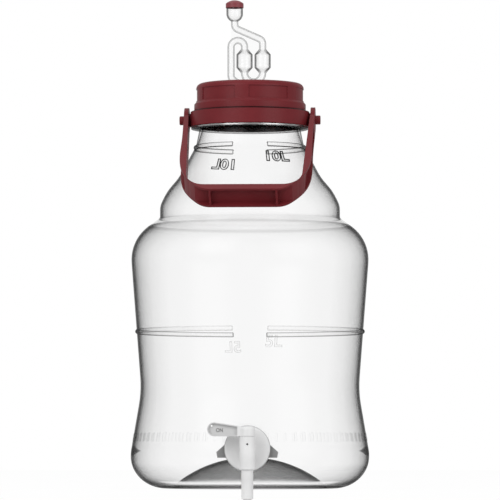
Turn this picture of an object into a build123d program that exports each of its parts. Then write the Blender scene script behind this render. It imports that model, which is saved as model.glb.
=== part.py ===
from build123d import *
import os
from math import atan2, cos, hypot, radians, sin, sqrt

# Ten-litre fermenting jar with a screw lid, an airlock, a swing handle and a tap.
# Millimetres. The origin lies on the jar's axis in the plane it stands on.
# +Z is up, -Y is the front with the tap, and +X is to the right seen from there.

# Jar
wall = 1.0
punt_height = 28.3
punt_rim_radius = 67.0
punt_rim_height = 5.5
foot_inner_radius = 75.5
foot_radius = 79.5
bulge_radius = 112.9
bulge_height = 30.3
crease_rise = 6.7
crease_inset = 0.5
waist_radius = 103.0
waist_height = 92.0
waist_blend = 105.0
shoulder_radius = 112.4
shoulder_height = 213.5
roll_rise = 36.0
shelf_width = 9.1
shelf_rise = 6.7
shelf_blend = 3.0
dome_radius = 85.4
dome_band = 7.8
dome_rise = 65.0
# Points on the dome: share of the way in to the neck, share of the rise
dome_shape = [(0.08, 0.15), (0.23, 0.29), (0.46, 0.44), (0.71, 0.67), (0.92, 0.88)]
neck_root_radius = 50.4
neck_throat_radius = 48.0
neck_throat_rise = 12.0
neck_radius = 47.2
neck_wall = 2.0
flange_radius = 56.0
flange_thickness = 1.6

# Level ribs moulded on the jar
rib_projection = 1.5
rib_radius = 2.3
rib_gap = 32.0
five_litre_height = 148.5
ten_litre_drop = 5.8

# Carrying ring
ring_radius = 56.6
ring_height = 14.6
ring_clearance = 0.3
ring_bore_clearance = 0.4
ring_shell = 2.6
ring_web_count = 12
ring_web_thickness = 1.6
ring_yaw = 3.7
ring_edge = 0.8
boss_root = 5.0
boss_relief = 1.0
boss_proud = 1.0
boss_width = 30.0
boss_tip_diameter = 13.0
stud_diameter = 8.6
stud_height = 6.6
stud_overhang = 4.9
stud_chamfer = 0.5

# Handle
eye_thickness = 4.2
eye_radius = 12.0
eye_clearance = 0.05
eye_gap = 0.4
handle_length = 119.3
handle_width = 21.0
handle_web = 2.0
handle_lip = 2.0
handle_depth = 7.6
grip_half = 36.8
grip_outer_half = 31.0
grip_corner = 17.0
arm_taper = 3.9
arm_waist = 0.42
arm_waist_inset = 0.7
arm_foot_inset = 5.8
corner_inset = 15.5
corner_rise = 1.8
stiffener_thickness = 2.0
channel_start = 18.0
rest_gap = 0.4
tilt_search = (0.0, 80.0)
tilt_step = 0.01

# Lid
lid_gap = 0.4
lid_height = 26.3
lid_plate = 3.0
lid_radius = 51.2
lid_skirt_radius = 53.1
lid_skirt_height = 6.4
lid_chamfer = 2.2
lid_edge = 5.0
lid_wall = 1.9
grip_count = 6
grip_panel_angle = 45.0
grip_bar_azimuth = -98.8
grip_depth = 0.7
grip_bottom = 9.4
grip_height = 11.4
dish_radius = 27.0
dish_depth = 13.0
dish_fillet = 2.0
gasket_thickness = 2.2
gasket_overlap = 1.2
gasket_clearance = 0.3

# Airlock
tube_radius = 3.35
tube_wall = 0.9
bubble_radius = 7.65
bubble_height = 22.6
bubble_shoulder = 5.0
stem_bottom = 19.0
stem_rise = 2.6
stem_bend = 5.0
left_tube_x = -18.0
left_bubble_x = -5.2
right_bubble_x = 12.0
bubble_base_rise = 23.6
crossover_rise = 14.0
arch_rise = 2.1
elbow_rise = 8.7
cup_drop = 6.4
elbow_bend = 5.0
cup_x = -14.6
cup_radius = 7.8
cup_height = 15.7
cup_wall = 0.9
cup_base_rise = 73.0
web_thickness = 1.0
cap_clearance = 0.1
cap_wall = 0.6
cap_skirt = 3.0
cap_dome = 3.2
cap_top = 1.2
grommet_flange = 3.0
grommet_lip = 2.0
grommet_groove_radius = 6.0
grommet_taper = 1.0
fit_clearance = 0.05

# Tap
tap_x = -2.5
tap_height = 37.6
facet_radius = 23.0
facet_inset = 3.0
disc_radius = 20.7
disc_thickness = 3.0
disc_edge = 0.8
washer_thickness = 2.0
washer_overlap = 0.6
inner_washer_radius = 15.0
barrel_radius = 6.4
shank_radius = 8.0
shank_clearance = 0.3
shank_bore = 3.6
nut_radius = 13.0
nut_thickness = 8.0
nut_tail = 3.0
nut_span = 57.0
wing_drop = 8.4
wing_tip_drop = 3.2
wing_shoulder_rise = 3.4
wing_shoulder = 0.74
wing_draft = 1.0
wing_thickness = 5.0
sleeve_reach = 20.7
sleeve_radius = 7.15
sleeve_drop = 19.1
sleeve_rise = 11.1
vent_radius = 0.9
vent_rise = 4.0
plug_radius = 5.7
plug_clearance = 0.08
plug_reach = 0.5
key_port = 3.2
key_bore = 3.6
spout_radius = 5.45
spout_drop = 27.0
tip_radius = 3.85
tip_length = 3.0
tip_bore = 2.6
hub_gap = 0.2
hub_height = 9.2
hub_dome = 3.2
lever_length = 30.3
lever_tip_radius = 6.35
lever_root_radius = 4.55
lever_thickness = 8.0
lever_rim = 1.1
lever_web = 3.0
lever_hole = 0.9
lever_hole_reach = 32.6
lever_hole_rise = 9.5

# Heights and radii that follow from the sizes above
bulge_point = (bulge_radius, bulge_height)
crease_point = (bulge_radius - crease_inset, bulge_height + crease_rise)
waist_point = (waist_radius, waist_height)
shoulder_point = (shoulder_radius, shoulder_height)
roll_end = (dome_radius + shelf_width, shoulder_height + roll_rise)
shelf_point = (dome_radius, roll_end[1] + shelf_rise)
dome_foot = (dome_radius, shelf_point[1] + dome_band)
neck_root = (neck_root_radius, dome_foot[1] + dome_rise)
flange_bottom = neck_root[1] + neck_throat_rise
flange_top = flange_bottom + flange_thickness
ring_bottom = flange_top + ring_clearance
ring_top = ring_bottom + ring_height
lid_bottom = ring_top + lid_gap
lid_top = lid_bottom + lid_height
rim_height = lid_top - lid_plate - gasket_thickness
neck_bore = neck_radius - neck_wall
dome_reach = dome_radius - neck_root_radius


# Jar: half section of the body, from the axis under the punt to the neck
with BuildLine() as jar_line:
    punt = TangentArc((0, punt_height), (punt_rim_radius, punt_rim_height), tangent=(1, 0))
    Spline(punt @ 1, (foot_inner_radius, 0), tangents=(punt % 1, (1, 0)))
    Line((foot_inner_radius, 0), (foot_radius, 0))
    EllipticalCenterArc(
        (foot_radius, bulge_height),
        bulge_radius - foot_radius,
        bulge_height,
        start_angle=270,
        arc_size=90,
    )
    TangentArc(bulge_point, crease_point, tangent=(0, 1))
    flank = FilletPolyline(crease_point, waist_point, shoulder_point, radius=waist_blend)
    roll = TangentArc(shoulder_point, roll_end, tangent=flank % 1)
    FilletPolyline(roll_end, shelf_point, dome_foot, radius=shelf_blend)
    dome_points = [
        (dome_radius - dome_reach * inward, dome_foot[1] + dome_rise * upward)
        for inward, upward in dome_shape
    ]
    throat = (neck_throat_radius - neck_root_radius, neck_throat_rise)
    Spline(dome_foot, *dome_points, neck_root, tangents=((0, 1), throat))

with BuildSketch() as body_half:
    with BuildLine():
        add(jar_line.line)
        Polyline(neck_root, (0, neck_root[1]), (0, punt_height))
    make_face()

with BuildSketch() as body_face:
    add(body_half.sketch)
    mirror(about=Plane.YZ)

with BuildSketch() as cavity_half:
    add(offset(body_face.sketch, amount=-wall, mode=Mode.PRIVATE))
    with Locations((0, neck_root[1] / 2)):
        Rectangle(2 * bulge_radius, neck_root[1], align=(Align.MIN, Align.CENTER), mode=Mode.INTERSECT)


def smooth_edge(edge):
    """An edge of the hollow, with the offset of a curve drawn again as a spline of its own."""
    if edge.geom_type != GeomType.OFFSET:
        return edge
    return Edge.make_spline([edge @ 0, edge @ 0.25, edge @ 0.5, edge @ 0.75, edge @ 1], [edge % 0, edge % 1])


def jar_radius(height):
    """Outer radius of the jar's body at a height."""
    ray = Edge.make_line((0, height), (2 * bulge_radius, height))
    crossing = ray.intersect(body_half.sketch.face())
    return max(vertex.X for edge in crossing for vertex in edge.vertices())


facet_distance = jar_radius(tap_height) - facet_inset
tap_plane = Plane(origin=(tap_x, 0, tap_height), x_dir=(1, 0, 0), z_dir=(0, -1, 0))
inner_face_distance = facet_distance - wall


def flat_for_tap(distance, radius):
    """Round flat at a distance from the axis: filled behind, cut away in front."""
    with BuildSketch(tap_plane.offset(distance)) as flat:
        Circle(radius)
    extrude(flat.sketch, amount=-radius / 2)
    extrude(flat.sketch, amount=radius, mode=Mode.SUBTRACT)


# Level ribs: rounded bands, left open at the front and the back
with BuildPart() as level_ribs:
    for height in (five_litre_height, neck_root[1] - ten_litre_drop):
        with BuildSketch(Plane.XZ):
            with Locations((jar_radius(height) + rib_projection - rib_radius, height)):
                Circle(rib_radius)
        revolve(axis=Axis.Z)
    with Locations((0, 0, rim_height / 2)):
        Box(rib_gap, 4 * bulge_radius, rim_height, mode=Mode.SUBTRACT)

# Hollow of the jar, with the flat behind the tap
with BuildPart() as jar_cavity:
    with BuildSketch(Plane.XZ):
        with BuildLine():
            for edge in cavity_half.sketch.face().outer_wire().edges():
                add(smooth_edge(edge))
        make_face()
        with BuildLine():
            Polyline(
                (0, neck_root[1] - 2 * wall),
                (neck_root_radius - wall, neck_root[1] - 2 * wall),
                (neck_root_radius - wall, neck_root[1] - wall),
                (neck_bore, flange_bottom),
                (neck_bore, rim_height + wall),
                (0, rim_height + wall),
                close=True,
            )
        make_face()
    revolve(axis=Axis.Z)
    flat_for_tap(inner_face_distance, facet_radius - wall)

with BuildPart() as carboy_body:
    with BuildSketch(Plane.XZ):
        with BuildLine():
            add(jar_line.line)
            Polyline(
                neck_root,
                (neck_throat_radius, flange_bottom),
                (flange_radius, flange_bottom),
                (flange_radius, flange_top),
                (neck_radius, flange_top),
                (neck_radius, rim_height),
                (0, rim_height),
                (0, punt_height),
            )
        make_face()
    revolve(axis=Axis.Z)
    add(level_ribs.part)
    flat_for_tap(facet_distance, facet_radius)
    add(jar_cavity.part, mode=Mode.SUBTRACT)
    with BuildSketch(tap_plane.offset(facet_distance + wall)):
        Circle(shank_radius + shank_clearance)
    extrude(amount=-facet_radius, mode=Mode.SUBTRACT)

# Carrying ring: a collar cored from below, with a boss and a stud at each side
ring_across = Vector(cos(radians(ring_yaw)), -sin(radians(ring_yaw)), 0)
ring_front = Vector(-sin(radians(ring_yaw)), -cos(radians(ring_yaw)), 0)
pivot_height = ring_bottom + stud_height
pivot = Vector(0, 0, pivot_height)
ring_bore = neck_radius + ring_bore_clearance
boss_reach = ring_radius + boss_proud
eye_inner = boss_reach + eye_gap
stud_end = eye_inner + eye_thickness + stud_overhang


def side_plane(side, reach):
    """Plane across the pivot axis, facing out to the right (1) or the left (-1)."""
    outward = ring_across * side
    return Plane(origin=pivot + outward * reach, x_dir=Vector(0, 0, 1).cross(outward), z_dir=outward)


with BuildPart() as carry_ring:
    with BuildSketch(Plane.XY.offset(ring_bottom)):
        Circle(ring_radius)
    extrude(amount=ring_height)
    fillet(carry_ring.edges().filter_by(GeomType.CIRCLE), radius=ring_edge)
    for side in (1, -1):
        with BuildSketch(side_plane(side, ring_radius - boss_root)):
            with Locations((0, ring_height / 2 - stud_height)):
                Rectangle(boss_width, ring_height - boss_relief)
        with BuildSketch(side_plane(side, boss_reach)):
            Circle(boss_tip_diameter / 2)
        loft()
    with BuildSketch(Plane.XY.offset(ring_bottom)):
        Circle(ring_bore)
    extrude(amount=ring_height, mode=Mode.SUBTRACT)
    with BuildSketch(Plane.XY.offset(ring_bottom)):
        Circle(ring_radius - ring_shell)
        Circle(ring_bore + ring_shell, mode=Mode.SUBTRACT)
        web_length = ring_radius - ring_bore
        first_web = 180 / ring_web_count
        with PolarLocations(ring_bore + web_length / 2, ring_web_count, start_angle=first_web):
            Rectangle(web_length, ring_web_thickness, mode=Mode.SUBTRACT)
    extrude(amount=ring_height - ring_shell, mode=Mode.SUBTRACT)
    for side in (1, -1):
        with BuildSketch(side_plane(side, boss_reach)):
            Circle(stud_diameter / 2)
        extrude(amount=stud_end - boss_reach)
    across = carry_ring.edges().filter_by(GeomType.CIRCLE).sort_by(Axis(pivot, ring_across))
    chamfer([across[0], across[-1]], length=stud_chamfer)

# Handle: it swings down until its grip lies on the jar
eye_outer = eye_inner + eye_thickness
handle_end = handle_length + handle_depth
arm_foot = handle_length - grip_corner


def clears_jar(tilt):
    """Whether both lower edges of the grip stay off the jar at a tilt from straight down."""
    for reach in (handle_length, handle_end):
        angle = radians(tilt) - atan2(handle_width / 2, reach)
        edge_reach = hypot(reach, handle_width / 2)
        if edge_reach * sin(angle) < jar_radius(pivot_height - edge_reach * cos(angle)) + rest_gap:
            return False
    return True


lowest_tilt, handle_tilt = tilt_search
while handle_tilt - lowest_tilt > tilt_step:
    middle_tilt = (lowest_tilt + handle_tilt) / 2
    if clears_jar(middle_tilt):
        handle_tilt = middle_tilt
    else:
        lowest_tilt = middle_tilt
handle_down = ring_front * sin(radians(handle_tilt)) - Vector(0, 0, cos(radians(handle_tilt)))
handle_plane = Plane(origin=pivot, x_dir=ring_across, z_dir=ring_across.cross(handle_down))

with BuildSketch() as handle_hole:
    with BuildLine():
        inner_arm = Line((eye_inner, -eye_radius), (eye_inner, 0))
        inner_side = Line(inner_arm @ 1, (eye_inner - arm_taper, arm_foot))
        corner = TangentArc(inner_side @ 1, (grip_half, handle_length), tangent=inner_side % 1)
        Polyline((grip_half, handle_length), (0, handle_length), (0, -eye_radius), inner_arm @ 0)
    make_face()
    mirror(about=Plane.YZ)

with BuildSketch() as handle_face:
    with BuildLine():
        outer_arm = Line((0, 0), (eye_outer, 0))
        Spline(
            outer_arm @ 1,
            (eye_outer - arm_waist_inset, arm_waist * handle_length),
            (eye_outer - arm_foot_inset, arm_foot),
            (eye_outer - corner_inset, handle_length - corner_rise),
            (grip_outer_half, handle_end),
            tangents=((0, 1), (-1, 0)),
        )
        Polyline((grip_outer_half, handle_end), (0, handle_end), (0, 0))
    make_face()
    mirror(about=Plane.YZ)
    add(handle_hole.sketch, mode=Mode.SUBTRACT)

with BuildSketch() as channel_face:
    with Locations((0, channel_start)):
        Rectangle(4 * eye_outer, 2 * handle_end, align=(Align.CENTER, Align.MIN))
    add(offset(handle_hole.sketch, amount=handle_web, mode=Mode.PRIVATE), mode=Mode.SUBTRACT)
    for side in (1, -1):
        with Locations((side * grip_outer_half, handle_length)):
            Rectangle(stiffener_thickness, 4 * handle_depth, mode=Mode.SUBTRACT)

with BuildPart() as handle:
    with BuildSketch(handle_plane):
        add(handle_face.sketch)
    extrude(amount=handle_width / 2, both=True)
    with BuildSketch(handle_plane):
        add(channel_face.sketch)
    extrude(amount=handle_width / 2 - handle_lip, both=True, mode=Mode.SUBTRACT)
    for side in (1, -1):
        with BuildSketch(side_plane(side, eye_inner)):
            Circle(eye_radius)
        extrude(amount=eye_thickness)
        with BuildSketch(side_plane(side, eye_inner - eye_thickness)):
            Circle(stud_diameter / 2 + eye_clearance)
        extrude(amount=3 * eye_thickness, mode=Mode.SUBTRACT)

# Lid: a turned cup with a dished centre and six recessed grip panels
skirt_bore = lid_radius - lid_wall
dish_floor = lid_top - dish_depth
grommet_radius = grommet_groove_radius + grommet_flange

with BuildPart() as lid:
    with BuildSketch(Plane.XZ):
        with BuildLine():
            Polyline(
                (0, lid_bottom),
                (lid_skirt_radius, lid_bottom),
                (lid_skirt_radius, lid_bottom + lid_skirt_height),
                (lid_radius, lid_bottom + lid_skirt_height + lid_chamfer),
                (lid_radius, lid_top),
                (0, lid_top),
                close=True,
            )
        make_face()
    revolve(axis=Axis.Z)
    rim = lid.edges().filter_by(GeomType.CIRCLE).group_by(Axis.Z)[-1]
    fillet(rim, radius=lid_edge)
    with BuildSketch(Plane.XY.offset(lid_bottom)):
        Circle(skirt_bore)
        Circle(dish_radius + lid_plate, mode=Mode.SUBTRACT)
    extrude(amount=lid_height - lid_plate, mode=Mode.SUBTRACT)
    with BuildSketch(Plane.XY.offset(lid_bottom)):
        Circle(dish_radius + lid_plate)
    extrude(amount=lid_height - dish_depth - lid_plate, mode=Mode.SUBTRACT)
    with BuildSketch(Plane.XY.offset(dish_floor)):
        Circle(dish_radius)
    extrude(amount=dish_depth, mode=Mode.SUBTRACT)
    fillet(lid.edges(Select.LAST).filter_by(GeomType.CIRCLE), radius=dish_fillet)
    with BuildSketch(Plane.XY.offset(dish_floor - lid_plate)):
        Circle(grommet_groove_radius)
    extrude(amount=lid_plate, mode=Mode.SUBTRACT)
    with BuildSketch(Plane.XY.offset(lid_bottom + grip_bottom)):
        with BuildLine():
            half = grip_panel_angle / 2
            step = 180 / grip_count
            outer = 2 * lid_skirt_radius
            inner_arc = CenterArc((0, 0), lid_radius - grip_depth, grip_bar_azimuth + step - half, 2 * half)
            outer_arc = CenterArc((0, 0), outer, grip_bar_azimuth + step - half, 2 * half)
            Line(inner_arc @ 0, outer_arc @ 0)
            Line(inner_arc @ 1, outer_arc @ 1)
        make_face()
    panel = extrude(amount=grip_height, mode=Mode.PRIVATE)
    with PolarLocations(0, grip_count):
        add(panel, mode=Mode.SUBTRACT)

with BuildPart() as lid_gasket:
    with BuildSketch(Plane.XY.offset(rim_height)):
        Circle(skirt_bore - gasket_clearance)
        Circle(neck_bore - gasket_overlap, mode=Mode.SUBTRACT)
    extrude(amount=gasket_thickness)

# Airlock: the bush in the lid, the hollow moulding and its cap
with BuildPart() as airlock_grommet:
    with BuildSketch(Plane.XZ):
        with BuildLine():
            Polyline(
                (tube_radius + fit_clearance, dish_floor - lid_plate - grommet_lip),
                (grommet_radius - grommet_taper, dish_floor - lid_plate - grommet_lip),
                (grommet_radius - grommet_taper, dish_floor - lid_plate),
                (grommet_groove_radius - fit_clearance, dish_floor - lid_plate),
                (grommet_groove_radius - fit_clearance, dish_floor),
                (grommet_radius, dish_floor),
                (grommet_radius, dish_floor + grommet_lip),
                (tube_radius + fit_clearance, dish_floor + grommet_lip),
                close=True,
            )
        make_face()
    revolve(axis=Axis.Z)

stem_foot = dish_floor - stem_bottom
stem_turn = dish_floor + grommet_lip + stem_rise
bubble_bottom = dish_floor + bubble_base_rise
bubble_top = bubble_bottom + bubble_height
arch_foot = bubble_top + arch_rise
cup_bottom = dish_floor + cup_base_rise
cup_top = cup_bottom + cup_height
bowl_centre = cup_bottom + sqrt(cup_radius**2 - tube_radius**2)
arch_radius = (left_bubble_x - left_tube_x) / 2
u_radius = (right_bubble_x - left_bubble_x) / 2
u_centre = (left_bubble_x + right_bubble_x) / 2

with BuildLine(Plane.XZ) as stem_path:
    FilletPolyline(
        (0, stem_foot),
        (0, stem_turn),
        (left_tube_x, stem_turn + crossover_rise),
        (left_tube_x, arch_foot),
        radius=stem_bend,
    )
    ThreePointArc(
        (left_tube_x, arch_foot),
        (left_tube_x + arch_radius, arch_foot + arch_radius),
        (left_bubble_x, arch_foot),
    )
    Line((left_bubble_x, arch_foot), (left_bubble_x, bubble_top - bubble_shoulder))

with BuildLine(Plane.XZ) as u_path:
    Line((left_bubble_x, bubble_bottom + bubble_shoulder), (left_bubble_x, bubble_bottom))
    ThreePointArc(
        (left_bubble_x, bubble_bottom),
        (u_centre, bubble_bottom - u_radius),
        (right_bubble_x, bubble_bottom),
    )
    Line((right_bubble_x, bubble_bottom), (right_bubble_x, bubble_bottom + bubble_shoulder))

with BuildLine(Plane.XZ) as outlet_path:
    FilletPolyline(
        (right_bubble_x, bubble_top - bubble_shoulder),
        (right_bubble_x, bubble_top + elbow_rise),
        (cup_x, cup_bottom - cup_drop),
        (cup_x, cup_bottom + cup_wall),
        radius=elbow_bend,
    )


def airlock_form(inset):
    """Tubes, bubbles and cup of the airlock as one solid, with every radius less the inset."""
    with BuildPart() as form:
        for path in (stem_path, u_path, outlet_path):
            with BuildSketch(Plane(origin=path.line @ 0, z_dir=path.line % 0)):
                Circle(tube_radius - inset)
            sweep(path=path.line)
        for x in (left_bubble_x, right_bubble_x):
            with BuildSketch(Plane.XZ):
                with BuildLine():
                    Polyline(
                        (x, bubble_bottom + inset),
                        (x + tube_radius - inset, bubble_bottom + inset),
                        (x + bubble_radius - inset, bubble_bottom + bubble_shoulder),
                        (x + bubble_radius - inset, bubble_top - bubble_shoulder),
                        (x + tube_radius - inset, bubble_top - inset),
                        (x, bubble_top - inset),
                        close=True,
                    )
                make_face()
            revolve(axis=Axis((x, 0, 0), (0, 0, 1)))
        with BuildSketch(Plane.XZ):
            with BuildLine():
                bowl = CenterArc((cup_x, bowl_centre), cup_radius - inset, -90, 90)
                Polyline(bowl @ 1, (cup_x + cup_radius - inset, cup_top), (cup_x, cup_top), bowl @ 0)
            make_face()
        revolve(axis=Axis((cup_x, 0, 0), (0, 0, 1)))
    return form.part


with BuildPart() as airlock_body:
    add(airlock_form(0))
    with BuildSketch(Plane.XZ):
        with BuildLine():
            Polyline(
                (left_tube_x, stem_turn + crossover_rise),
                (left_tube_x, cup_bottom - cup_drop),
                (cup_x, cup_bottom - cup_drop),
                (right_bubble_x, bubble_top + elbow_rise),
                (right_bubble_x, bubble_bottom),
                (u_centre, bubble_bottom - u_radius),
                close=True,
            )
        make_face()
    extrude(amount=web_thickness / 2, both=True)
    add(airlock_form(tube_wall), mode=Mode.SUBTRACT)

cap_inner = cup_radius + cap_clearance
with BuildPart() as airlock_cap:
    with BuildSketch(Plane.XZ):
        with BuildLine():
            edge_height = cup_top + cap_top
            apex = cup_top + cap_top + cap_dome
            Polyline(
                (cup_x, cup_top),
                (cup_x + cap_inner, cup_top),
                (cup_x + cap_inner, cup_top - cap_skirt),
                (cup_x + cap_inner + cap_wall, cup_top - cap_skirt),
                (cup_x + cap_inner + cap_wall, edge_height),
            )
            TangentArc((cup_x, apex), (cup_x + cap_inner + cap_wall, edge_height), tangent=(1, 0))
            Line((cup_x, apex), (cup_x, cup_top))
        make_face()
    revolve(axis=Axis((cup_x, 0, 0), (0, 0, 1)))

# Tap: washers, body through the wall, nut and the turning key
disc_back = facet_distance + washer_thickness
disc_front = disc_back + disc_thickness
sleeve_distance = facet_distance + sleeve_reach
nut_front = inner_face_distance - washer_thickness
shank_end = nut_front - nut_thickness - nut_tail
key_axis = Plane(origin=(tap_x, -sleeve_distance, tap_height))


def tap_disc(distance, radius, length):
    """Round bar along the shank, from a distance outwards."""
    with BuildSketch(tap_plane.offset(distance)) as end:
        Circle(radius)
    extrude(end.sketch, amount=length)


def washer(distance, radius):
    """Soft washer round the shank."""
    with BuildPart() as ring:
        with BuildSketch(tap_plane.offset(distance)):
            Circle(radius)
            Circle(shank_radius + shank_clearance, mode=Mode.SUBTRACT)
        extrude(amount=washer_thickness)
    return ring


tap_outer_gasket = washer(facet_distance, disc_radius + washer_overlap)
tap_inner_gasket = washer(nut_front, inner_washer_radius)

with BuildPart() as tap_body:
    tap_disc(disc_back, disc_radius, disc_thickness)
    disc_rim = tap_body.edges().filter_by(GeomType.CIRCLE).group_by(Axis.Y)[0]
    fillet(disc_rim, radius=disc_edge)
    tap_disc(shank_end, shank_radius, disc_back - shank_end)
    tap_disc(disc_front, barrel_radius, sleeve_distance - disc_front)
    with BuildSketch(key_axis.offset(-sleeve_drop)):
        Circle(sleeve_radius)
    extrude(amount=sleeve_drop + sleeve_rise)
    with BuildSketch(tap_plane.offset(shank_end)):
        Circle(shank_bore)
    extrude(amount=sleeve_distance - shank_end, mode=Mode.SUBTRACT)
    with BuildSketch(key_axis.offset(-sleeve_drop)):
        Circle(plug_radius + plug_clearance)
    extrude(amount=sleeve_drop + sleeve_rise, mode=Mode.SUBTRACT)
    with BuildSketch(tap_plane.offset(sleeve_distance)):
        with Locations((0, vent_rise)):
            Circle(vent_radius)
    extrude(amount=2 * sleeve_radius, mode=Mode.SUBTRACT)

with BuildPart() as tap_nut:
    with BuildSketch(tap_plane.offset(nut_front)):
        Circle(nut_radius)
    extrude(amount=-nut_thickness)
    with BuildSketch(tap_plane.offset(nut_front)):
        with BuildLine():
            Polyline(
                (0, nut_radius),
                (wing_shoulder * nut_span / 2, wing_shoulder_rise),
                (nut_span / 2, -wing_tip_drop),
                (nut_span / 2 - wing_draft, -wing_drop),
                (0, -wing_drop),
                close=True,
            )
        make_face()
        mirror(about=Plane.YZ)
    extrude(amount=-wing_thickness)
    with BuildSketch(tap_plane.offset(nut_front)):
        Circle(shank_radius + fit_clearance)
    extrude(amount=-nut_thickness, mode=Mode.SUBTRACT)

hub_bottom = sleeve_rise + hub_gap
lever_plane = Plane(origin=key_axis.origin, x_dir=(-1, 0, 0), z_dir=(0, 1, 0))

with BuildSketch() as lever_face:
    with Locations((lever_length, hub_bottom + lever_tip_radius)):
        Circle(lever_tip_radius)
    with Locations((sleeve_radius, hub_bottom + lever_root_radius)):
        Circle(lever_root_radius)
    make_hull()

with BuildSketch() as lever_recess:
    add(offset(lever_face.sketch, amount=-lever_rim, mode=Mode.PRIVATE))
    Rectangle(2 * (sleeve_radius + 2 * lever_rim), 8 * lever_tip_radius, mode=Mode.SUBTRACT)

with BuildPart() as tap_key:
    with BuildSketch(key_axis.offset(hub_bottom)):
        Circle(sleeve_radius)
    extrude(amount=hub_height)
    hub_rim = tap_key.edges().filter_by(GeomType.CIRCLE).group_by(Axis.Z)[-1]
    fillet(hub_rim, radius=hub_dome)
    with BuildSketch(lever_plane):
        add(lever_face.sketch)
    extrude(amount=lever_thickness / 2, both=True)
    with BuildSketch(lever_plane):
        add(lever_recess.sketch)
    blank = extrude(amount=lever_thickness / 2, both=True, mode=Mode.PRIVATE)
    with BuildSketch(lever_plane):
        add(lever_recess.sketch)
    core = extrude(amount=lever_web / 2, both=True, mode=Mode.PRIVATE)
    add(blank, mode=Mode.SUBTRACT)
    add(core)
    with BuildSketch(lever_plane):
        with Locations((lever_hole_reach, hub_bottom + lever_hole_rise)):
            Circle(lever_hole)
    extrude(amount=lever_thickness / 2, both=True, mode=Mode.SUBTRACT)
    with BuildSketch(key_axis.offset(-spout_drop - sleeve_drop)):
        Circle(spout_radius)
    extrude(amount=spout_drop)
    with BuildSketch(key_axis.offset(-sleeve_drop - plug_reach)):
        Circle(plug_radius)
    extrude(amount=plug_reach + sleeve_drop + hub_bottom)
    with BuildSketch(key_axis.offset(-spout_drop - sleeve_drop)):
        Circle(tip_radius)
    extrude(amount=-tip_length)
    with BuildSketch(key_axis.offset(-spout_drop - sleeve_drop)):
        Circle(key_bore)
    extrude(amount=spout_drop + sleeve_drop + key_bore, mode=Mode.SUBTRACT)
    with BuildSketch(key_axis.offset(-spout_drop - sleeve_drop - tip_length)):
        Circle(tip_bore)
    extrude(amount=2 * tip_length, mode=Mode.SUBTRACT)
    with BuildSketch(tap_plane.offset(sleeve_distance)):
        Circle(key_port)
    extrude(amount=-2 * plug_radius, mode=Mode.SUBTRACT)

os.makedirs("parts", exist_ok=True)
pieces = {
    "carboy_body": carboy_body,
    "carry_ring": carry_ring,
    "handle": handle,
    "lid": lid,
    "lid_gasket": lid_gasket,
    "airlock_grommet": airlock_grommet,
    "airlock_body": airlock_body,
    "airlock_cap": airlock_cap,
    "tap_body": tap_body,
    "tap_key": tap_key,
    "tap_outer_gasket": tap_outer_gasket,
    "tap_inner_gasket": tap_inner_gasket,
    "tap_nut": tap_nut,
}
for name, piece in pieces.items():
    piece.part.label = name
    export_step(piece.part, f"parts/{name}.step")
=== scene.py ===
"""Dresses the fermenting jar: materials, marks, ribs, flutes, threads, stage, light and camera."""
from math import asin, atan2, cos, hypot, pi, radians, sin, sqrt

import bmesh
import bpy
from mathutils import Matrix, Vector
from mathutils.bvhtree import BVHTree


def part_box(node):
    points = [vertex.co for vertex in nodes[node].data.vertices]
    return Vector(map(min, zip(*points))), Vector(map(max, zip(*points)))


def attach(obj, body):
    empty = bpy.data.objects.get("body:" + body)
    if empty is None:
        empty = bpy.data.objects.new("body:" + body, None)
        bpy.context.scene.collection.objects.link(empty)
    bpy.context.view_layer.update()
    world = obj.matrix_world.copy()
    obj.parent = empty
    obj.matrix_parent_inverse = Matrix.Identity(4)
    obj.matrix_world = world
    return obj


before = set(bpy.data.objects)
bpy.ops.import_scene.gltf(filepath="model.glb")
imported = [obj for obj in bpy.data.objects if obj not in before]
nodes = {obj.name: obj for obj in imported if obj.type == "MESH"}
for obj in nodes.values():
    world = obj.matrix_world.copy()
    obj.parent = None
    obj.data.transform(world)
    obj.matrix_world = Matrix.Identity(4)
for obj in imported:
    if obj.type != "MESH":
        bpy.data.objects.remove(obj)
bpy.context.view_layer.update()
scene = bpy.context.scene

# Camera: the photograph's frame, in metres
frame_width = 0.475
sensor_width = 36.0
camera_distance = 3.649
camera_height = 0.0389
aim_height = 0.226
camera_clip = 20.0
clear_bounces = 32

# Table: it ends between the jar's foot and the spout, which hangs in front of it
table_front = -0.105
table_size = (4.0, 3.0, 0.6)
foot_gap = 0.0001
table_white = 0.9
table_glow = 0.97

# Light: the plain world, the point that the lamps face, and each lamp's name, place, size and power
world_light = 0.5
lamp_target = (0, 0, 0.2)
lamps = [
    ("key_lamp", (-1.3, -1.9, 1.3), (1.6, 1.8), 24.0),
    ("fill_lamp", (1.6, -1.7, 0.9), (1.6, 1.8), 16.0),
    ("top_lamp", (-0.2, 0.1, 1.9), (1.6, 1.4), 5.0),
]

# Raised marks on the jar: word, azimuths of its middle in front and at the back, low and high end,
# width, share of light that passes its rims, which is painted shade, and the rims' width as a share of
# the letters' size.
# Faces whose normal leans more than mark_face_slope belong to the rims.
mark_relief = 0.0006
mark_root = 0.0003
mark_slant = 0.03
mark_face_slope = 0.9
jar_marks = [
    ("10L", (26.3, 206.3), 0.3064, 0.3166, 0.0237, 0.08, 0.045),
    ("5L", (11.9, 189.0), 0.1311, 0.1422, 0.0160, 0.8, 0.02),
]
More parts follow.
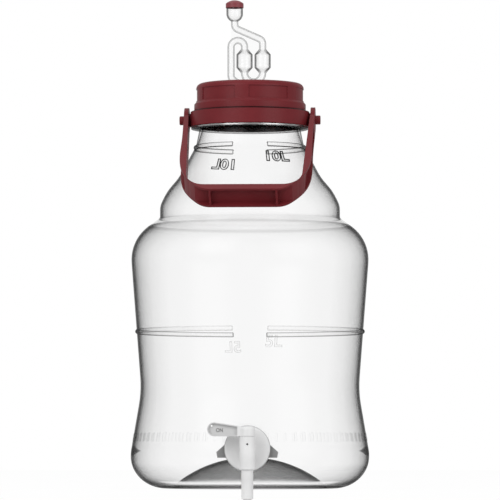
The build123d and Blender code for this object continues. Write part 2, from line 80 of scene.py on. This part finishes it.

# Level ribs, as in the CAD model, and the share of light that passes along their rims, which is
# painted shade:
# height, lower rim, upper rim and end in front, then the same at the back. The section runs from the
# lower edge to the upper one, and an end step is a distance along the rib and its share of height.
rib_half_height = 0.0024
rib_gap_half = 0.0161
rib_rims = [
    (0.1485, (0.85, 0.9, 0.8), (0.45, 0.6, 0.2)),
    (0.3232, (0.05, 0.6, 0.3), (0.25, 0.25, 0.25)),
]
rib_section = (-1.0, -0.8, -0.55, -0.3, 0.0, 0.3, 0.6, 0.8, 1.0)
rib_end_steps = [(0.0, 0.6), (0.0004, 0.85), (0.0009, 1.0)]
rib_rim_faces = 2
rib_steps = 30
skin_lift = 0.00006
skin_root = 0.0003

# Flutes round the foot of the jar, apart from the degrees on each side of the front that the tap's
# flat takes
flute_count = 80
flute_heights = (0.0445, 0.0525)
flute_half_width = 0.0011
flute_relief = 0.0004
flute_free = 20
flute_ups = (0.0, 0.08, 0.5, 0.92, 1.0)
flute_acrosses = (-1.0, -0.7, 0.0, 0.7, 1.0)

# Zones of painted shade on the jar by height: low, high, share of light that passes, and how soft the
# ends are. Their ramps span jar_height. Wall zones dim the whole wall, at the foot's lowest edge and
# in a line at the shelf's lower edge; punt zones dim the domed base only within inner_radius, and neck
# zones the neck under the collar only within neck_radius.
jar_height = 0.4
inner_radius = 0.092
neck_radius = 0.0545
wall_zones = [(0.0, 0.0020, 0.86, 0.0006), (0.2486, 0.2500, 0.9, 0.0010)]
punt_zones = [(0.0080, 0.032, 0.76, 0.0004)]
neck_zones = [(0.3409, 0.3572, 0.4, 0.0002)]

# Zones of painted light, with 0 inside, that stay clear: a bright band low on the jar, within
# inner_radius or where the wall within foot_radius isn't seen edge-on, and a lighter band on the
# shelf, where the surface is nearly level
foot_radius = 0.106
foot_facing = 0.72
open_zones = [(0.0026, 0.0072, 0.0, 0.0004)]
shelf_slope = 0.8
shelf_share = 0.93
shelf_zones = [(0.2498, 0.2560, 0.0, 0.0004)]

# Painted shade along the crease above the foot, darker where it is seen edge-on
crease_height = 0.0354
crease_reach = 0.0052
crease_painted_shade = 0.4
crease_gain = 3.0
crease_facing = [(0.6, 0.0), (0.82, 1.0)]

# Painted highlight on the edge of the neck's flange, beyond rim_radius, where the gloss is raised
rim_radius = 0.0552
rim_painted_highlight = 0.5
rim_zones = [(0.3408, 0.3428, 0.0, 0.0002)]

# Bands of painted shade: the seam between the collar and the lid's skirt, and the lever beside its
# hub.
# Each has its axis, low and high end, and share of the colour.
seam_shade = ("Z", 0.3568, 0.3586, 0.3)
lever_shade = ("X", -1.0, -0.0115, 0.8)

# Finish: waves of the clear plastics, and grain, tone, gloss and softened edges of the moulded ones
jar_roughness = 0.28
airlock_roughness = 0.12
wave_scale, wave_strength, wave_depth = 30.0, 0.15, 0.001
grain_scale, grain_strength, grain_depth = 1400.0, 0.04, 0.0002
tone_scale = 45.0
tone_stops = [(0.3, 0.94), (0.7, 1.06)]
gloss_stops = [(0.3, 0.85), (0.7, 1.15)]
edge_radius = 0.0004
edge_samples = 4

# Tap, as in the CAD model
tap_x = -0.0025
tap_height = 0.0376
key_y = -0.129997
# Vent port: a dark disc of painted shade in the hole in the sleeve's front
vent_radius = 0.00088
vent_rise = 0.004
vent_steps = 24
vent_depth = 0.0004
vent_y = key_y - 0.0064
lever_web = 0.0030
lever_word_x = 0.0254
lever_word_bottom = 0.0527
lever_word_height = 0.0035
lever_letter_width = 0.88 * lever_word_height
lever_word_relief = 0.00025

# Screw threads: root and crest radii, foot and turns. A ridge rises to its crest over one part in
# thread_run_out of its length. Each point of its section is at the root, 0, or at the crest, 1,
# and at a share of its width.
screw_pitch = 0.006
neck_thread = (0.0471, 0.0486, 0.3625, 2.2)
lid_thread = (0.0494, 0.0479, 0.3620, 2.2)
thread_width = 0.0022
thread_steps = 96
thread_run_out = 12
thread_section = ((0, -0.5), (1, -0.2), (1, 0.2), (0, 0.5))
shank_thread = (0.0079, 0.0086, 0.0954, 1.6)
shank_pitch = 0.0015
shank_thread_width = 0.0011


def linear(*values):
    """Linear colour of an sRGB colour given as 0 to 255."""
    shares = [value / 255 for value in values]
    spread = [s / 12.92 if s <= 0.04045 else ((s + 0.055) / 1.055) ** 2.4 for s in shares]
    return (*spread, 1.0)


def grey(value):
    """Opaque grey of a linear value."""
    return (value, value, value, 1.0)


def add_node(tree, kind, inputs=(), **settings):
    """A shader node with its settings, and its inputs set or joined to another node's output."""
    made = tree.nodes.new(kind)
    for key, value in settings.items():
        setattr(made, key, value)
    for key, value in dict(inputs).items():
        if isinstance(value, bpy.types.NodeSocket):
            tree.links.new(value, made.inputs[key])
        else:
            made.inputs[key].default_value = value
    return made


def calc(tree, operation, *values, clamp=False):
    """Result of a math node on numbers or other nodes' outputs."""
    made = add_node(tree, "ShaderNodeMath", enumerate(values), operation=operation, use_clamp=clamp)
    return made.outputs[0]


def new_material(name):
    """An empty material, its node tree and its output node."""
    made = bpy.data.materials.new(name)
    made.use_nodes = True
    tree = made.node_tree
    tree.nodes.clear()
    return made, tree, tree.nodes.new("ShaderNodeOutputMaterial")


def add_ramp(tree, factor, stops, colour=grey):
    """A colour ramp through stops of (place, value)."""
    ramp = add_node(tree, "ShaderNodeValToRGB", {"Fac": factor})
    points = ramp.color_ramp.elements
    while len(points) < len(stops):
        points.new(0.5)
    for point, (place, value) in zip(points, stops):
        point.position = place
        point.color = colour(value)
    return ramp.outputs["Color"]


def own_place(tree):
    """Place on the object, in its own axes."""
    return add_node(tree, "ShaderNodeTexCoord").outputs["Object"]


def edge_on(tree):
    """0 where the surface is seen straight on, up to 1 where it is seen edge-on."""
    return add_node(tree, "ShaderNodeLayerWeight", {"Blend": 0.5}).outputs["Facing"]


def part_along(tree, vector, axis):
    """The part of a vector along an axis."""
    return add_node(tree, "ShaderNodeSeparateXYZ", {0: vector}).outputs[axis]


def finish_clear(tree, output, passed, shine, roughness):
    """See-through surface that passes that much light, under a faint and slightly wavy gloss."""
    place = own_place(tree)
    wave = add_node(tree, "ShaderNodeTexNoise", {"Vector": place, "Scale": wave_scale, "Detail": 1.0})
    bump = add_node(
        tree,
        "ShaderNodeBump",
        {"Strength": wave_strength, "Distance": wave_depth, "Height": wave.outputs["Fac"]},
    )
    seen = add_node(tree, "ShaderNodeBsdfTransparent", {"Color": passed})
    gloss = add_node(
        tree,
        "ShaderNodeBsdfGlossy",
        {"Color": grey(1.0), "Roughness": roughness, "Normal": bump.outputs["Normal"]},
    )
    mix = add_node(tree, "ShaderNodeMixShader", {0: shine, 1: seen.outputs[0], 2: gloss.outputs[0]})
    tree.links.new(mix.outputs[0], output.inputs["Surface"])


def clear_plastic(name, stops, shine, roughness):
    """See-through plastic: each surface passes less light the more it is seen edge-on."""
    made, tree, output = new_material(name)
    weight = edge_on(tree)
    passed = add_ramp(tree, weight, stops)
    finish_clear(tree, output, passed, add_ramp(tree, weight, shine), roughness)
    return made


def zone_ramp(tree, height, zones):
    """1 by height, apart from zones of (low, high, value there, softness)."""
    stops = [(0.0, 1.0)]
    for low, high, value, soft in zones:
        stops += [(low - soft, 1.0), (low, value), (high, value), (high + soft, 1.0)]
    places = [(place / jar_height, value) for place, value in stops if place >= 0]
    return add_ramp(tree, height, places)


def zone_where(tree, height, zones, where):
    """1 in zones with 0 inside, as far as where is 1 too, else 0."""
    zone = calc(tree, "SUBTRACT", 1.0, zone_ramp(tree, height, zones))
    return calc(tree, "MULTIPLY", where, zone)


def crease_share(tree, weight, metres):
    """Share of light that passes about the crease, lessened by painted shade, most where the wall is
    seen edge-on.
    """
    distance = calc(tree, "ABSOLUTE", calc(tree, "SUBTRACT", metres, crease_height))
    nearness = calc(tree, "SUBTRACT", 1.0, calc(tree, "DIVIDE", distance, crease_reach), clamp=True)
    both = calc(tree, "ADD", nearness, add_ramp(tree, weight, crease_facing))
    strength = calc(tree, "SUBTRACT", both, 1.0, clamp=True)
    strength = calc(tree, "MULTIPLY", strength, crease_gain, clamp=True)
    return calc(tree, "SUBTRACT", 1.0, calc(tree, "MULTIPLY", strength, crease_painted_shade))


def least_share(tree, weight, height, radius):
    """Share of light that passes at least, with painted light in the bright bands under the jar and on
    its shelf.
    """
    near = calc(tree, "LESS_THAN", radius, foot_radius)
    heel = calc(tree, "MULTIPLY", near, calc(tree, "LESS_THAN", weight, foot_facing))
    inside = calc(tree, "MAXIMUM", heel, calc(tree, "LESS_THAN", radius, inner_radius))
    opened = zone_where(tree, height, open_zones, inside)
    normal = add_node(tree, "ShaderNodeNewGeometry").outputs["Normal"]
    slope = calc(tree, "ABSOLUTE", part_along(tree, normal, "Z"))
    flat = calc(tree, "GREATER_THAN", slope, shelf_slope)
    shelf = calc(tree, "MULTIPLY", zone_where(tree, height, shelf_zones, flat), shelf_share)
    return calc(tree, "MAXIMUM", opened, shelf)


def jar_plastic(name, stops, shine, roughness):
    """The jar's clear plastic, with painted shade at its foot, domed base, crease, shelf and neck,
    painted light low on the foot and on the shelf, and a painted highlight on the neck's flange.
    """
    made, tree, output = new_material(name)
    weight = edge_on(tree)
    place = own_place(tree)
    metres = part_along(tree, place, "Z")
    height = calc(tree, "DIVIDE", metres, jar_height)
    level = add_node(tree, "ShaderNodeVectorMath", {0: place, 1: (1, 1, 0)}, operation="MULTIPLY")
    length = add_node(tree, "ShaderNodeVectorMath", {0: level.outputs[0]}, operation="LENGTH")
    radius = length.outputs["Value"]
    # Painted shade: the wall, punt and neck zones and the crease pass less light
    shares = [zone_ramp(tree, height, wall_zones)]
    for limit, zones in ((inner_radius, punt_zones), (neck_radius, neck_zones)):
        outside = calc(tree, "GREATER_THAN", radius, limit)
        shares.append(calc(tree, "MAXIMUM", outside, zone_ramp(tree, height, zones)))
    shares.append(crease_share(tree, weight, metres))
    passed = add_ramp(tree, weight, stops)
    for share in shares:
        passed = calc(tree, "MULTIPLY", passed, share)
    # Painted light: the bright bands low on the jar and on the shelf pass at least their share
    passed = calc(tree, "MAXIMUM", passed, least_share(tree, weight, height, radius))
    # Painted highlight: more gloss on the edge of the neck's flange
    rim = zone_where(tree, height, rim_zones, calc(tree, "GREATER_THAN", radius, rim_radius))
    rim = calc(tree, "MULTIPLY", rim, rim_painted_highlight)
    gloss = calc(tree, "MAXIMUM", add_ramp(tree, weight, shine), rim)
    finish_clear(tree, output, passed, gloss, roughness)
    return made


def moulded_plastic(name, colour, roughness, specular=0.4, shade=None):
    """Moulded plastic: a faint grain, uneven gloss, slightly uneven colour and softened edges.

    shade is an axis, the low and high end of a band of painted shade along it, and the share of the
    colour there.
    """
    made, tree, output = new_material(name)
    place = own_place(tree)
    fine = add_node(tree, "ShaderNodeTexNoise", {"Vector": place, "Scale": grain_scale, "Detail": 2.0})
    broad = add_node(tree, "ShaderNodeTexNoise", {"Vector": place, "Scale": tone_scale, "Detail": 3.0})
    tone = add_ramp(
        tree,
        broad.outputs["Fac"],
        tone_stops,
        colour=lambda share: (*[channel * share for channel in colour[:3]], 1.0),
    )
    # Painted shade: the colour is darkened within the band
    if shade:
        axis, low, high, share = shade
        along = part_along(tree, place, axis)
        above = calc(tree, "GREATER_THAN", along, low)
        band = calc(tree, "MULTIPLY", above, calc(tree, "LESS_THAN", along, high))
        factor = calc(tree, "SUBTRACT", 1.0, calc(tree, "MULTIPLY", band, 1.0 - share))
        shaded = add_node(tree, "ShaderNodeVectorMath", {0: tone, 1: factor}, operation="MULTIPLY")
        tone = shaded.outputs[0]
    uneven = [(place, roughness * share) for place, share in gloss_stops]
    gloss = add_ramp(tree, broad.outputs["Fac"], uneven)
    round_edge = add_node(tree, "ShaderNodeBevel", {"Radius": edge_radius}, samples=edge_samples)
    bump = add_node(
        tree,
        "ShaderNodeBump",
        {
            "Strength": grain_strength,
            "Distance": grain_depth,
            "Height": fine.outputs["Fac"],
            "Normal": round_edge.outputs["Normal"],
        },
    )
    surface = add_node(
        tree,
        "ShaderNodeBsdfPrincipled",
        {
            "Base Color": tone,
            "Roughness": gloss,
            "Specular IOR Level": specular,
            "Normal": bump.outputs["Normal"],
        },
    )
    tree.links.new(surface.outputs[0], output.inputs["Surface"])
    return made


def shown_white(tree, surface, share):
    """The surface, mixed with plain white where the camera sees it."""
    path = add_node(tree, "ShaderNodeLightPath")
    seen = calc(tree, "MULTIPLY", path.outputs["Is Camera Ray"], share)
    white = add_node(tree, "ShaderNodeEmission", {"Color": grey(1.0), "Strength": 1.0})
    return add_node(tree, "ShaderNodeMixShader", {0: seen, 1: surface, 2: white.outputs[0]})


def new_mesh(name, points, faces, materials, body, picks=()):
    """A mesh piece that rides on a body, with its faces turned outwards."""
    mesh = bpy.data.meshes.new(name)
    mesh.from_pydata(points, [], faces)
    for face, pick in zip(mesh.polygons, picks):
        face.material_index = pick
    form = bmesh.new()
    form.from_mesh(mesh)
    bmesh.ops.recalc_face_normals(form, faces=form.faces)
    form.to_mesh(mesh)
    form.free()
    made = bpy.data.objects.new(name, mesh)
    scene.collection.objects.link(made)
    for material in materials:
        mesh.materials.append(material)
    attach(made, body)
    return made


class Shell:
    """Points, faces and material picks of closed thin skins between an outer and an inner grid."""

    def __init__(self):
        self.points, self.faces, self.picks = [], [], []

    def add(self, outer, inner, pick=lambda row, column: 0):
        """Adds one skin. pick gives the material of each outer face; the others take the first."""
        rows, columns = len(outer), len(outer[0])
        first = len(self.points)
        self.points += [point for grid in (outer, inner) for row in grid for point in row]
        below = rows * columns
        for row in range(rows - 1):
            for column in range(columns - 1):
                here = first + row * columns + column
                quad = (here, here + 1, here + columns + 1, here + columns)
                self.faces += [quad, tuple(corner + below for corner in reversed(quad))]
                self.picks += [pick(row, column), 0]
        ring = list(range(columns))
        ring += [row * columns + columns - 1 for row in range(1, rows)]
        ring += [(rows - 1) * columns + column for column in range(columns - 2, -1, -1)]
        ring += [row * columns for row in range(rows - 2, 0, -1)]
        for here, beside in zip(ring, ring[1:] + ring[:1]):
            here, beside = here + first, beside + first
            self.faces.append((here, beside, beside + below, here + below))
            self.picks.append(0)


def word_mesh(text, relief, slant=0.0, bevel=0.0):
    """Points, faces and rim flags of a raised word, 1 wide and 1 high, centred across."""
    curve = bpy.data.curves.new(text, "FONT")
    curve.body = text
    curve.size = 1.0
    curve.shear = slant
    curve.extrude = 0.5
    curve.bevel_depth = bevel
    curve.bevel_resolution = 0
    holder = bpy.data.objects.new(text, curve)
    scene.collection.objects.link(holder)
    bpy.context.view_layer.update()
    depsgraph = bpy.context.evaluated_depsgraph_get()
    mesh = bpy.data.meshes.new_from_object(holder.evaluated_get(depsgraph))
    low = [min(v.co[axis] for v in mesh.vertices) for axis in range(3)]
    high = [max(v.co[axis] for v in mesh.vertices) for axis in range(3)]
    points = [
        (
            (v.co.x - low[0]) / (high[0] - low[0]) - 0.5,
            (v.co.y - low[1]) / (high[1] - low[1]),
            (v.co.z - low[2]) / (high[2] - low[2]) * relief,
        )
        for v in mesh.vertices
    ]
    faces = [tuple(face.vertices) for face in mesh.polygons]
    rims = [int(abs(face.normal.z) < mark_face_slope) for face in mesh.polygons]
    bpy.data.objects.remove(holder)
    bpy.data.meshes.remove(mesh)
    return points, faces, rims


# Materials
clear_shine = [(0.0, 0.008), (0.35, 0.02), (0.6, 0.045), (0.85, 0.07), (1.0, 0.1)]
jar_clear = jar_plastic(
    "jar_clear",
    stops=[
        (0.0, 0.985),
        (0.289, 0.981),
        (0.469, 0.952),
        (0.596, 0.905),
        (0.685, 0.840),
        (0.742, 0.758),
        (0.776, 0.670),
        (0.816, 0.540),
        (0.87, 0.390),
        (1.0, 0.22),
    ],
    shine=clear_shine,
    roughness=jar_roughness,
)
flute_clear = clear_plastic(
    "flute_clear",
    stops=[(0.0, 1.0), (0.4, 0.98), (0.65, 0.8), (1.0, 0.4)],
    shine=[(0.0, 0.0), (0.7, 0.01), (1.0, 0.05)],
    roughness=jar_roughness,
)
airlock_clear = clear_plastic(
    "airlock_clear",
    stops=[(0.0, 0.985), (0.35, 0.96), (0.52, 0.8), (0.66, 0.4), (0.8, 0.12), (1.0, 0.05)],
    shine=clear_shine,
    roughness=airlock_roughness,
)
burgundy_colour = linear(114, 38, 43)
burgundy_finish = {"roughness": 0.36, "specular": 0.15}
burgundy = moulded_plastic("burgundy", burgundy_colour, **burgundy_finish)
# Burgundy with painted shade along the seam between the collar and the lid's skirt
burgundy_painted_seam = moulded_plastic(
    "burgundy_painted_seam", burgundy_colour, **burgundy_finish, shade=seam_shade
)
white_finish = {"colour": grey(0.87), "roughness": 0.34}
tap_white = moulded_plastic("tap_white", **white_finish)
# The lever's white, with painted shade on the lever beside its hub
key_white_painted_shade = moulded_plastic("key_white_painted_shade", **white_finish, shade=lever_shade)
# The nut is white plastic; its grey is painted shade, as it sits in shadow inside the jar
nut_painted_shade = moulded_plastic("nut_painted_shade", grey(0.32), roughness=0.4)
word_grey = moulded_plastic("word_grey", grey(0.18), roughness=0.5)
cap_red = moulded_plastic("cap_red", linear(136, 66, 72), roughness=0.34, specular=0.25)
seal_pale = moulded_plastic("seal_pale", grey(0.5), roughness=0.6)
# Dark rubber of the grommet, and also the painted shade in the tap's vent hole
seal_dark_and_hole_shade = moulded_plastic("seal_dark_and_hole_shade", grey(0.035), roughness=0.65)
rim_shades = {}


def rim_shade_plastic(share):
    """Clear plastic of a raised rim, which passes one share of the light: painted shade in place of
    the rim's refraction.
    """
    if share not in rim_shades:
        made, tree, output = new_material(f"rim_shades_{round(100 * share)}")
        gloss = add_ramp(tree, edge_on(tree), clear_shine)
        finish_clear(tree, output, grey(share), gloss, jar_roughness)
        rim_shades[share] = made
    return rim_shades[share]


node_materials = {
    "carboy_body": jar_clear,
    "carry_ring": burgundy_painted_seam,
    "handle": burgundy,
    "lid": burgundy_painted_seam,
    "lid_gasket": seal_pale,
    "airlock_grommet": seal_dark_and_hole_shade,
    "airlock_body": airlock_clear,
    "airlock_cap": cap_red,
    "tap_body": tap_white,
    "tap_key": key_white_painted_shade,
    "tap_outer_gasket": seal_pale,
    "tap_inner_gasket": seal_pale,
    "tap_nut": nut_painted_shade,
}
for name, material in node_materials.items():
    slots = nodes[name].data.materials
    slots.clear()
    slots.append(material)

# The jar's surface, which carries its marks, ribs and flutes
jar_mesh = nodes["carboy_body"].data
jar_tree = BVHTree.FromPolygons(
    [v.co for v in jar_mesh.vertices], [tuple(face.vertices) for face in jar_mesh.polygons]
)
reach = 2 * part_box("carboy_body")[1].x


def on_jar(azimuth, height):
    """Point and outward normal of the jar's surface at an azimuth from the front and a height."""
    outward = Vector((sin(azimuth), -cos(azimuth), 0))
    start = outward * reach + Vector((0, 0, height))
    return jar_tree.ray_cast(start, -outward)[:2]


def raise_mark(name, text, azimuth, low, high, width, share, bevel):
    """A word that stands on the jar's surface."""
    points, faces, rims = word_mesh(text, mark_relief + mark_root, mark_slant, bevel)
    middle = on_jar(azimuth, (low + high) / 2)[0]
    turn = width / hypot(middle.x, middle.y)
    laid = []
    for across, up, out in points:
        place, normal = on_jar(azimuth + across * turn, low + up * (high - low))
        laid.append(place + normal * (out - mark_root))
    new_mesh(name, laid, faces, [jar_clear, rim_shade_plastic(share)], "jar", rims)


number = 0
for text, azimuths, *form in jar_marks:
    for azimuth in azimuths:
        raise_mark(f"jar_mark_{number}", text, radians(azimuth), *form)
        number += 1


def rib_pick(row, column):
    """Material of a rib's outer face: 0 middle, 1 lower rim, 2 upper rim, 3 rounded end."""
    if row < len(rib_end_steps) - 1:
        return 3
    if column < rib_rim_faces:
        return 1
    return 2 if column >= len(rib_section) - 1 - rib_rim_faces else 0


def skin_rib(name, height, back, side, rims):
    """A rounded skin over a quarter of a level rib, from its end at the gap to the jar's side, which
    carries the painted shade on the rib's rims.
    """
    crest = on_jar(pi / 4, height)[0]
    crest_radius = hypot(crest.x, crest.y)
    end = asin(rib_gap_half / crest_radius)
    turns = [(end + along / crest_radius, share) for along, share in rib_end_steps]
    start = turns[-1][0]
    step_turn = (pi / 2 - start) / rib_steps
    turns += [(start + step_turn * step, 1.0) for step in range(1, rib_steps + 1)]
    outer, inner = [], []
    for turn, share in turns:
        azimuth = side * (pi - turn if back else turn)
        half = share * rib_half_height
        spots = [on_jar(azimuth, height + part * half) for part in rib_section]
        outer.append([place + normal * skin_lift for place, normal in spots])
        inner.append([place - normal * skin_root for place, normal in spots])
    rib = Shell()
    rib.add(outer, inner, rib_pick)
    materials = [jar_clear, *[rim_shade_plastic(share) for share in rims]]
    new_mesh(name, rib.points, rib.faces, materials, "jar", rib.picks)


for level, (height, *both_rims) in enumerate(rib_rims):
    for back, rims in enumerate(both_rims):
        for side, side_name in ((-1, "left"), (1, "right")):
            name = f"level_rib_{level}_{'back' if back else 'front'}_{side_name}"
            skin_rib(name, height, back, side, rims)


def flute_grids(azimuth):
    """Outer and inner points of one flute, which stands out from the jar but for its two ends."""
    low, high = flute_heights
    outer, inner = [], []
    for up in flute_ups:
        rise = 0.0 if up in (0.0, 1.0) else flute_relief
        height = low + up * (high - low)
        centre = on_jar(azimuth, height)[0]
        half_turn = flute_half_width / hypot(centre.x, centre.y)
        spots = [(across, *on_jar(azimuth + across * half_turn, height)) for across in flute_acrosses]
        outer.append(
            [
                place + normal * (rise * sqrt(1 - across**2) + skin_lift)
                for across, place, normal in spots
            ]
        )
        inner.append([place - normal * skin_root for _, place, normal in spots])
    return outer, inner


flutes = Shell()
for number in range(flute_count):
    azimuth = 2 * pi * number / flute_count - pi
    if abs(azimuth) >= radians(flute_free):
        flutes.add(*flute_grids(azimuth))
new_mesh("foot_flutes", flutes.points, flutes.faces, [flute_clear], "jar")

# Vent port: painted shade, a dark disc inside the small hole in the front of the tap's sleeve,
# standing in for the shade in the hole
port_height = tap_height + vent_rise
turns = [2 * pi * step / vent_steps for step in range(vent_steps)]
port = [
    (tap_x + vent_radius * cos(turn), vent_y + depth, port_height + vent_radius * sin(turn))
    for depth in (0.0, vent_depth)
    for turn in turns
]
front, back = list(range(vent_steps)), list(range(vent_steps, 2 * vent_steps))
wall = [
    (here, beside, beside + vent_steps, here + vent_steps)
    for here, beside in zip(front, front[1:] + front[:1])
]
new_mesh("vent_port_shade", port, [front, back, *wall], [seal_dark_and_hole_shade], "jar")

# Words on both faces of the tap's lever
for text, side in (("ON", -1), ("OFF", 1)):
    points, faces = word_mesh(text, lever_word_relief)[:2]
    width = lever_letter_width * len(text)
    laid = [
        (
            tap_x - lever_word_x - side * across * width,
            key_y + side * (lever_web / 2 + out),
            lever_word_bottom + up * lever_word_height,
        )
        for across, up, out in points
    ]
    new_mesh(f"lever_word_{text.lower()}", laid, faces, [word_grey], "valve")


def upright(radius, angle, along):
    """Point about the jar's axis."""
    return radius * cos(angle), radius * sin(angle), along


def on_shank(radius, angle, along):
    """Point about the axis of the tap's shank."""
    return tap_x + radius * cos(angle), -along, tap_height + radius * sin(angle)


def thread(name, material, body, slot, size, pitch=screw_pitch, width=thread_width, lay=upright):
    """A helical ridge about an axis, running out at both ends."""
    root, crest, foot, turns = size
    steps = int(thread_steps * turns)
    points = []
    for step in range(steps + 1):
        share = step / steps
        full = min(1.0, thread_run_out * share, thread_run_out * (1 - share))
        angle = 2 * pi * turns * share
        top = root + (crest - root) * full
        middle = foot + pitch * turns * share
        for raised, rise in thread_section:
            points.append(lay(top if raised else root, angle, middle + rise * width * full))
    faces = []
    for step in range(steps):
        for corner in range(4):
            here = 4 * step + corner
            beside = 4 * step + (corner + 1) % 4
            faces.append((here, beside, beside + 4, here + 4))
    new_mesh(name, points, faces, [material], body).data.shade_smooth()


thread("neck_thread", jar_clear, "jar", "clear_jar", neck_thread)
thread("lid_thread", burgundy, "cover", "burgundy_plastic", lid_thread)
shank_ridge = {"pitch": shank_pitch, "width": shank_thread_width, "lay": on_shank}
thread("shank_thread", tap_white, "jar", "white_plastic", shank_thread, **shank_ridge)

# Stage: a table whose front edge lies behind the spout
table_material, tree, output = new_material("table")
matt = add_node(tree, "ShaderNodeBsdfDiffuse", {"Color": grey(table_white)})
shown = shown_white(tree, matt.outputs[0], table_glow)
tree.links.new(shown.outputs[0], output.inputs["Surface"])
half_width = table_size[0] / 2
corners = [
    (x, y, z)
    for x in (-half_width, half_width)
    for y in (table_front, table_front + table_size[1])
    for z in (-foot_gap - table_size[2], -foot_gap)
]
sides = [(0, 1, 3, 2), (4, 6, 7, 5), (0, 4, 5, 1), (2, 3, 7, 6), (1, 5, 7, 3), (0, 2, 6, 4)]
table_mesh = bpy.data.meshes.new("table")
table_mesh.from_pydata(corners, [], sides)
table = bpy.data.objects.new("table", table_mesh)
table_mesh.materials.append(table_material)
scene.collection.objects.link(table)

# World: plain light, and white where the camera looks
world = bpy.data.worlds.new("studio")
world.use_nodes = True
scene.world = world
tree = world.node_tree
tree.nodes.clear()
plain = add_node(tree, "ShaderNodeBackground", {"Color": grey(1.0), "Strength": world_light})
mix = shown_white(tree, plain.outputs[0], 1.0)
output = tree.nodes.new("ShaderNodeOutputWorld")
tree.links.new(mix.outputs[0], output.inputs["Surface"])


def soft_box(name, place, size, power):
    """A rectangular lamp that faces the object."""
    lamp = bpy.data.lights.new(name, "AREA")
    lamp.shape = "RECTANGLE"
    lamp.size, lamp.size_y = size
    lamp.energy = power
    holder = bpy.data.objects.new(name, lamp)
    holder.location = place
    facing = Vector(lamp_target) - Vector(place)
    holder.rotation_euler = facing.to_track_quat("-Z", "Y").to_euler()
    scene.collection.objects.link(holder)


for lamp in lamps:
    soft_box(*lamp)

# Camera
camera = bpy.data.cameras.new("camera")
holder = bpy.data.objects.new("camera", camera)
holder.location = (0, -camera_distance, camera_height)
rise = atan2(aim_height - camera_height, camera_distance)
holder.rotation_euler = (pi / 2 + rise, 0, 0)
camera.sensor_width = sensor_width
camera.lens = sensor_width * hypot(camera_distance, aim_height - camera_height) / frame_width
camera.clip_end = camera_clip
scene.collection.objects.link(holder)
scene.camera = holder
scene.view_settings.view_transform = "Standard"
scene.cycles.transparent_max_bounces = clear_bounces
